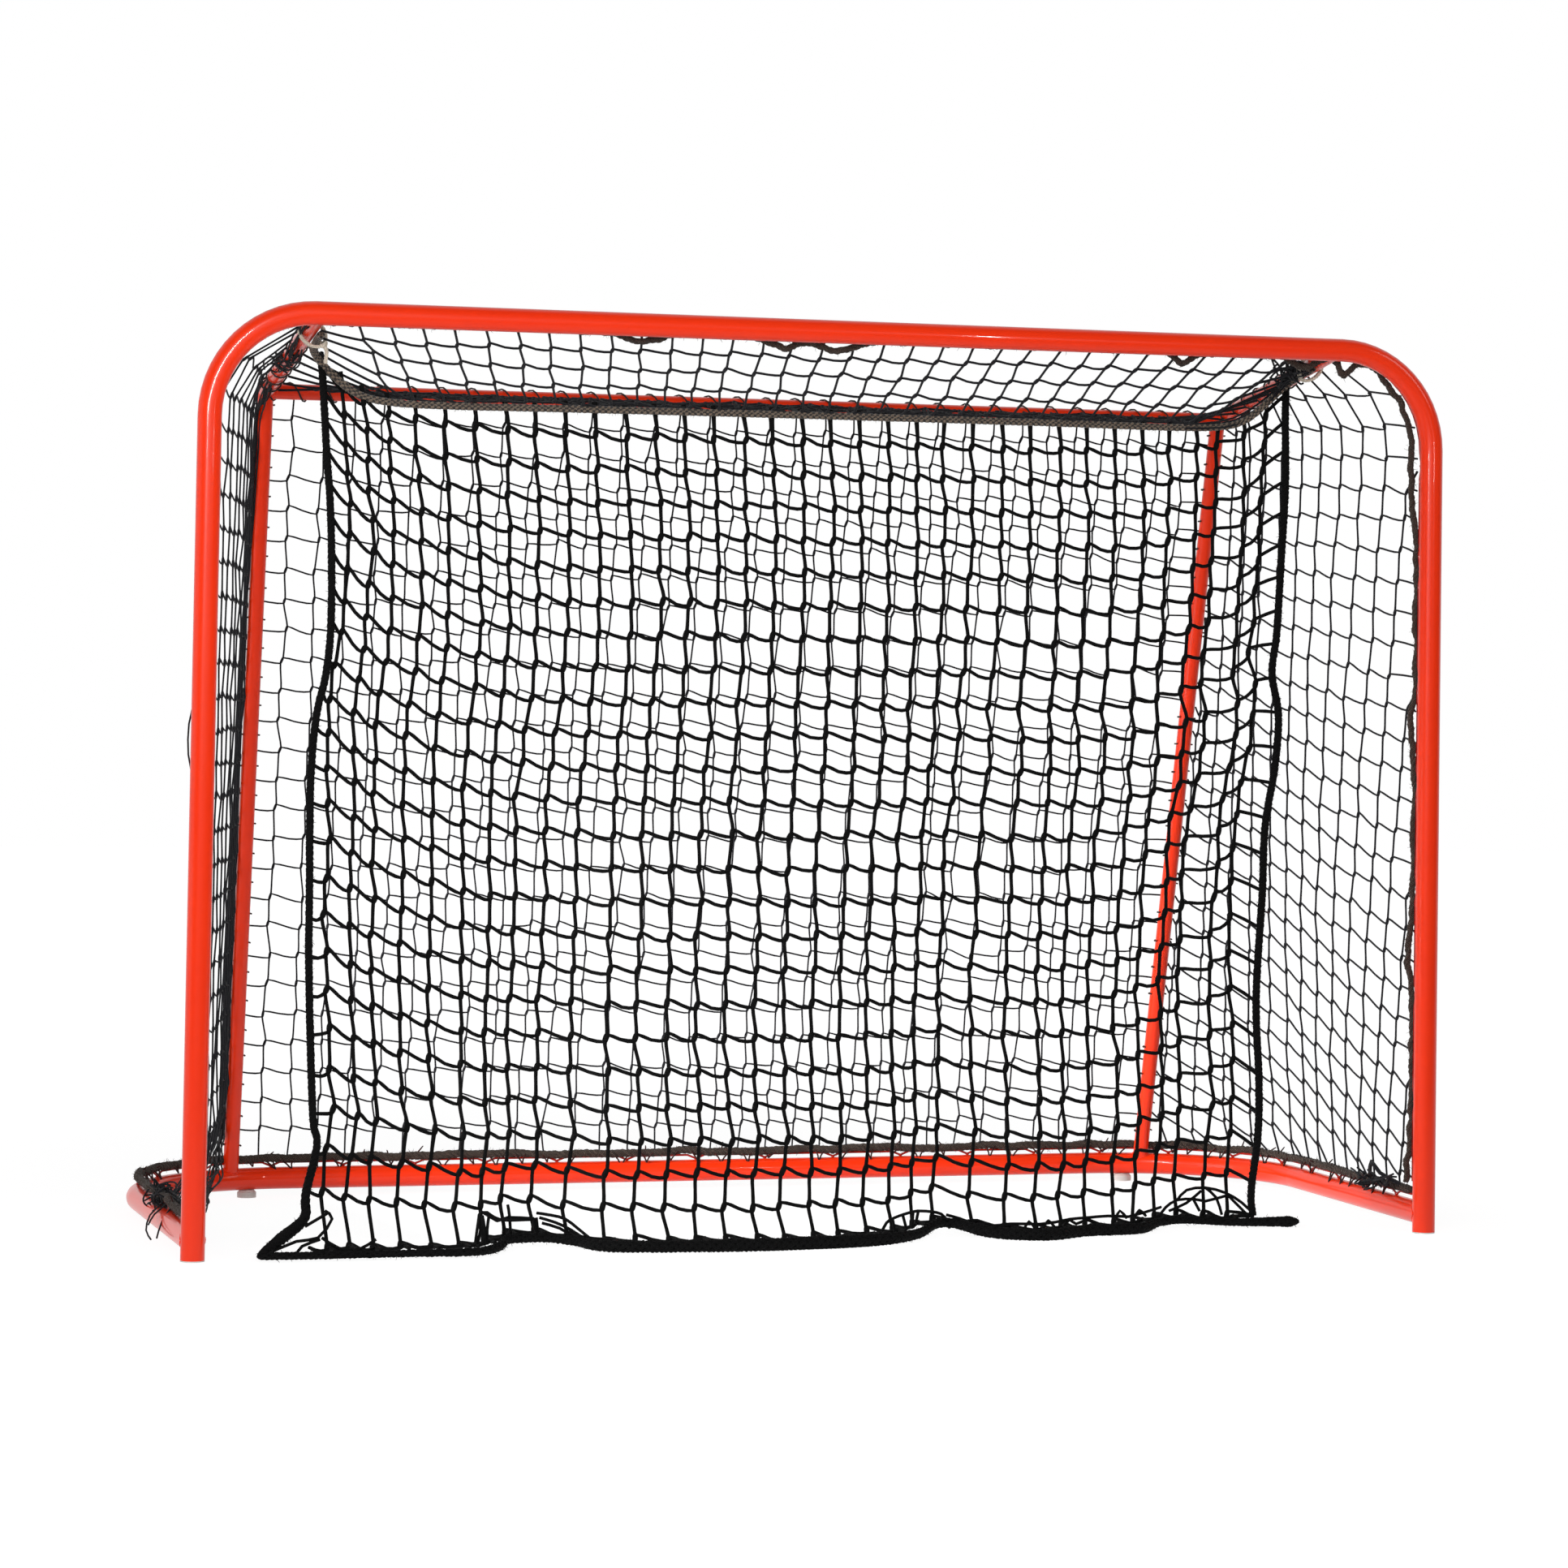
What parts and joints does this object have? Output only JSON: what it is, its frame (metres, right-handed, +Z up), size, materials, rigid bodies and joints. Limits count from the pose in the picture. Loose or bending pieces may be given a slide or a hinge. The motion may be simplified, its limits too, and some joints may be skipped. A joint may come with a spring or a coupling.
{
  "type": "floorball goal",
  "caption": "Tubular goal frame with a laced outer net and a weighted drop net that hangs inside the mouth and swings back to catch the ball.",
  "frame": {"origin": "on the floor, under the middle of the goal's outline", "axes": "+Z up, +X across the mouth to the right as seen from the field, -Y out of the mouth towards the field"},
  "size_m": [1.66, 0.71, 1.1832],
  "materials": {
    "frame_paint": "glossy orange-red powder coat",
    "lacing_wire_paint": "powder coat, dulled",
    "plug_plastic": "white, moulded",
    "glide_plastic": "translucent grey, moulded",
    "outer_twine": "thin twisted grey twine",
    "border_rope": "braided, fuzzy brown-grey",
    "drop_twine": "thick twisted black twine",
    "drop_rope": "braided, light and dark brown",
    "lead_rope": "fuzzy black braid over a weighted core",
    "tie_cord": "off-white cord"
  },
  "bodies": {
    "goal": {"front_frame": "frame_paint", "base_rail": "frame_paint", "rear_crossbar": "frame_paint", "left_upright": "frame_paint", "right_upright": "frame_paint", "left_top_rail": "frame_paint", "right_top_rail": "frame_paint", "post_plugs": "plug_plastic", "rail_glides": "glide_plastic", "base_lacing_wire": "lacing_wire_paint", "front_lacing_wire": "lacing_wire_paint", "base_border_rope": "border_rope", "front_border_rope": "border_rope", "back_net": "outer_twine", "top_net": "outer_twine", "left_side_net": "outer_twine", "right_side_net": "outer_twine", "rear_crossbar_lashing": "outer_twine", "left_upright_lashing": "outer_twine", "right_upright_lashing": "outer_twine", "left_top_rail_lashing": "outer_twine", "right_top_rail_lashing": "outer_twine", "drop_net_top_rope": "drop_rope", "left_corner_tie": "tie_cord", "right_corner_tie": "tie_cord"},
    "drop_net": {"drop_net": "drop_twine", "drop_net_left_border": "drop_twine", "drop_net_right_border": "drop_twine", "drop_net_lead_rope": "lead_rope"}
  },
  "joints": [
    {"name": "drop_net_swing", "type": "hinge", "parent": "goal", "child": "drop_net", "pos_m": [0, -0.19, 1.064], "axis": [1, 0, 0], "range_deg": [-75, 30]}
  ]
}
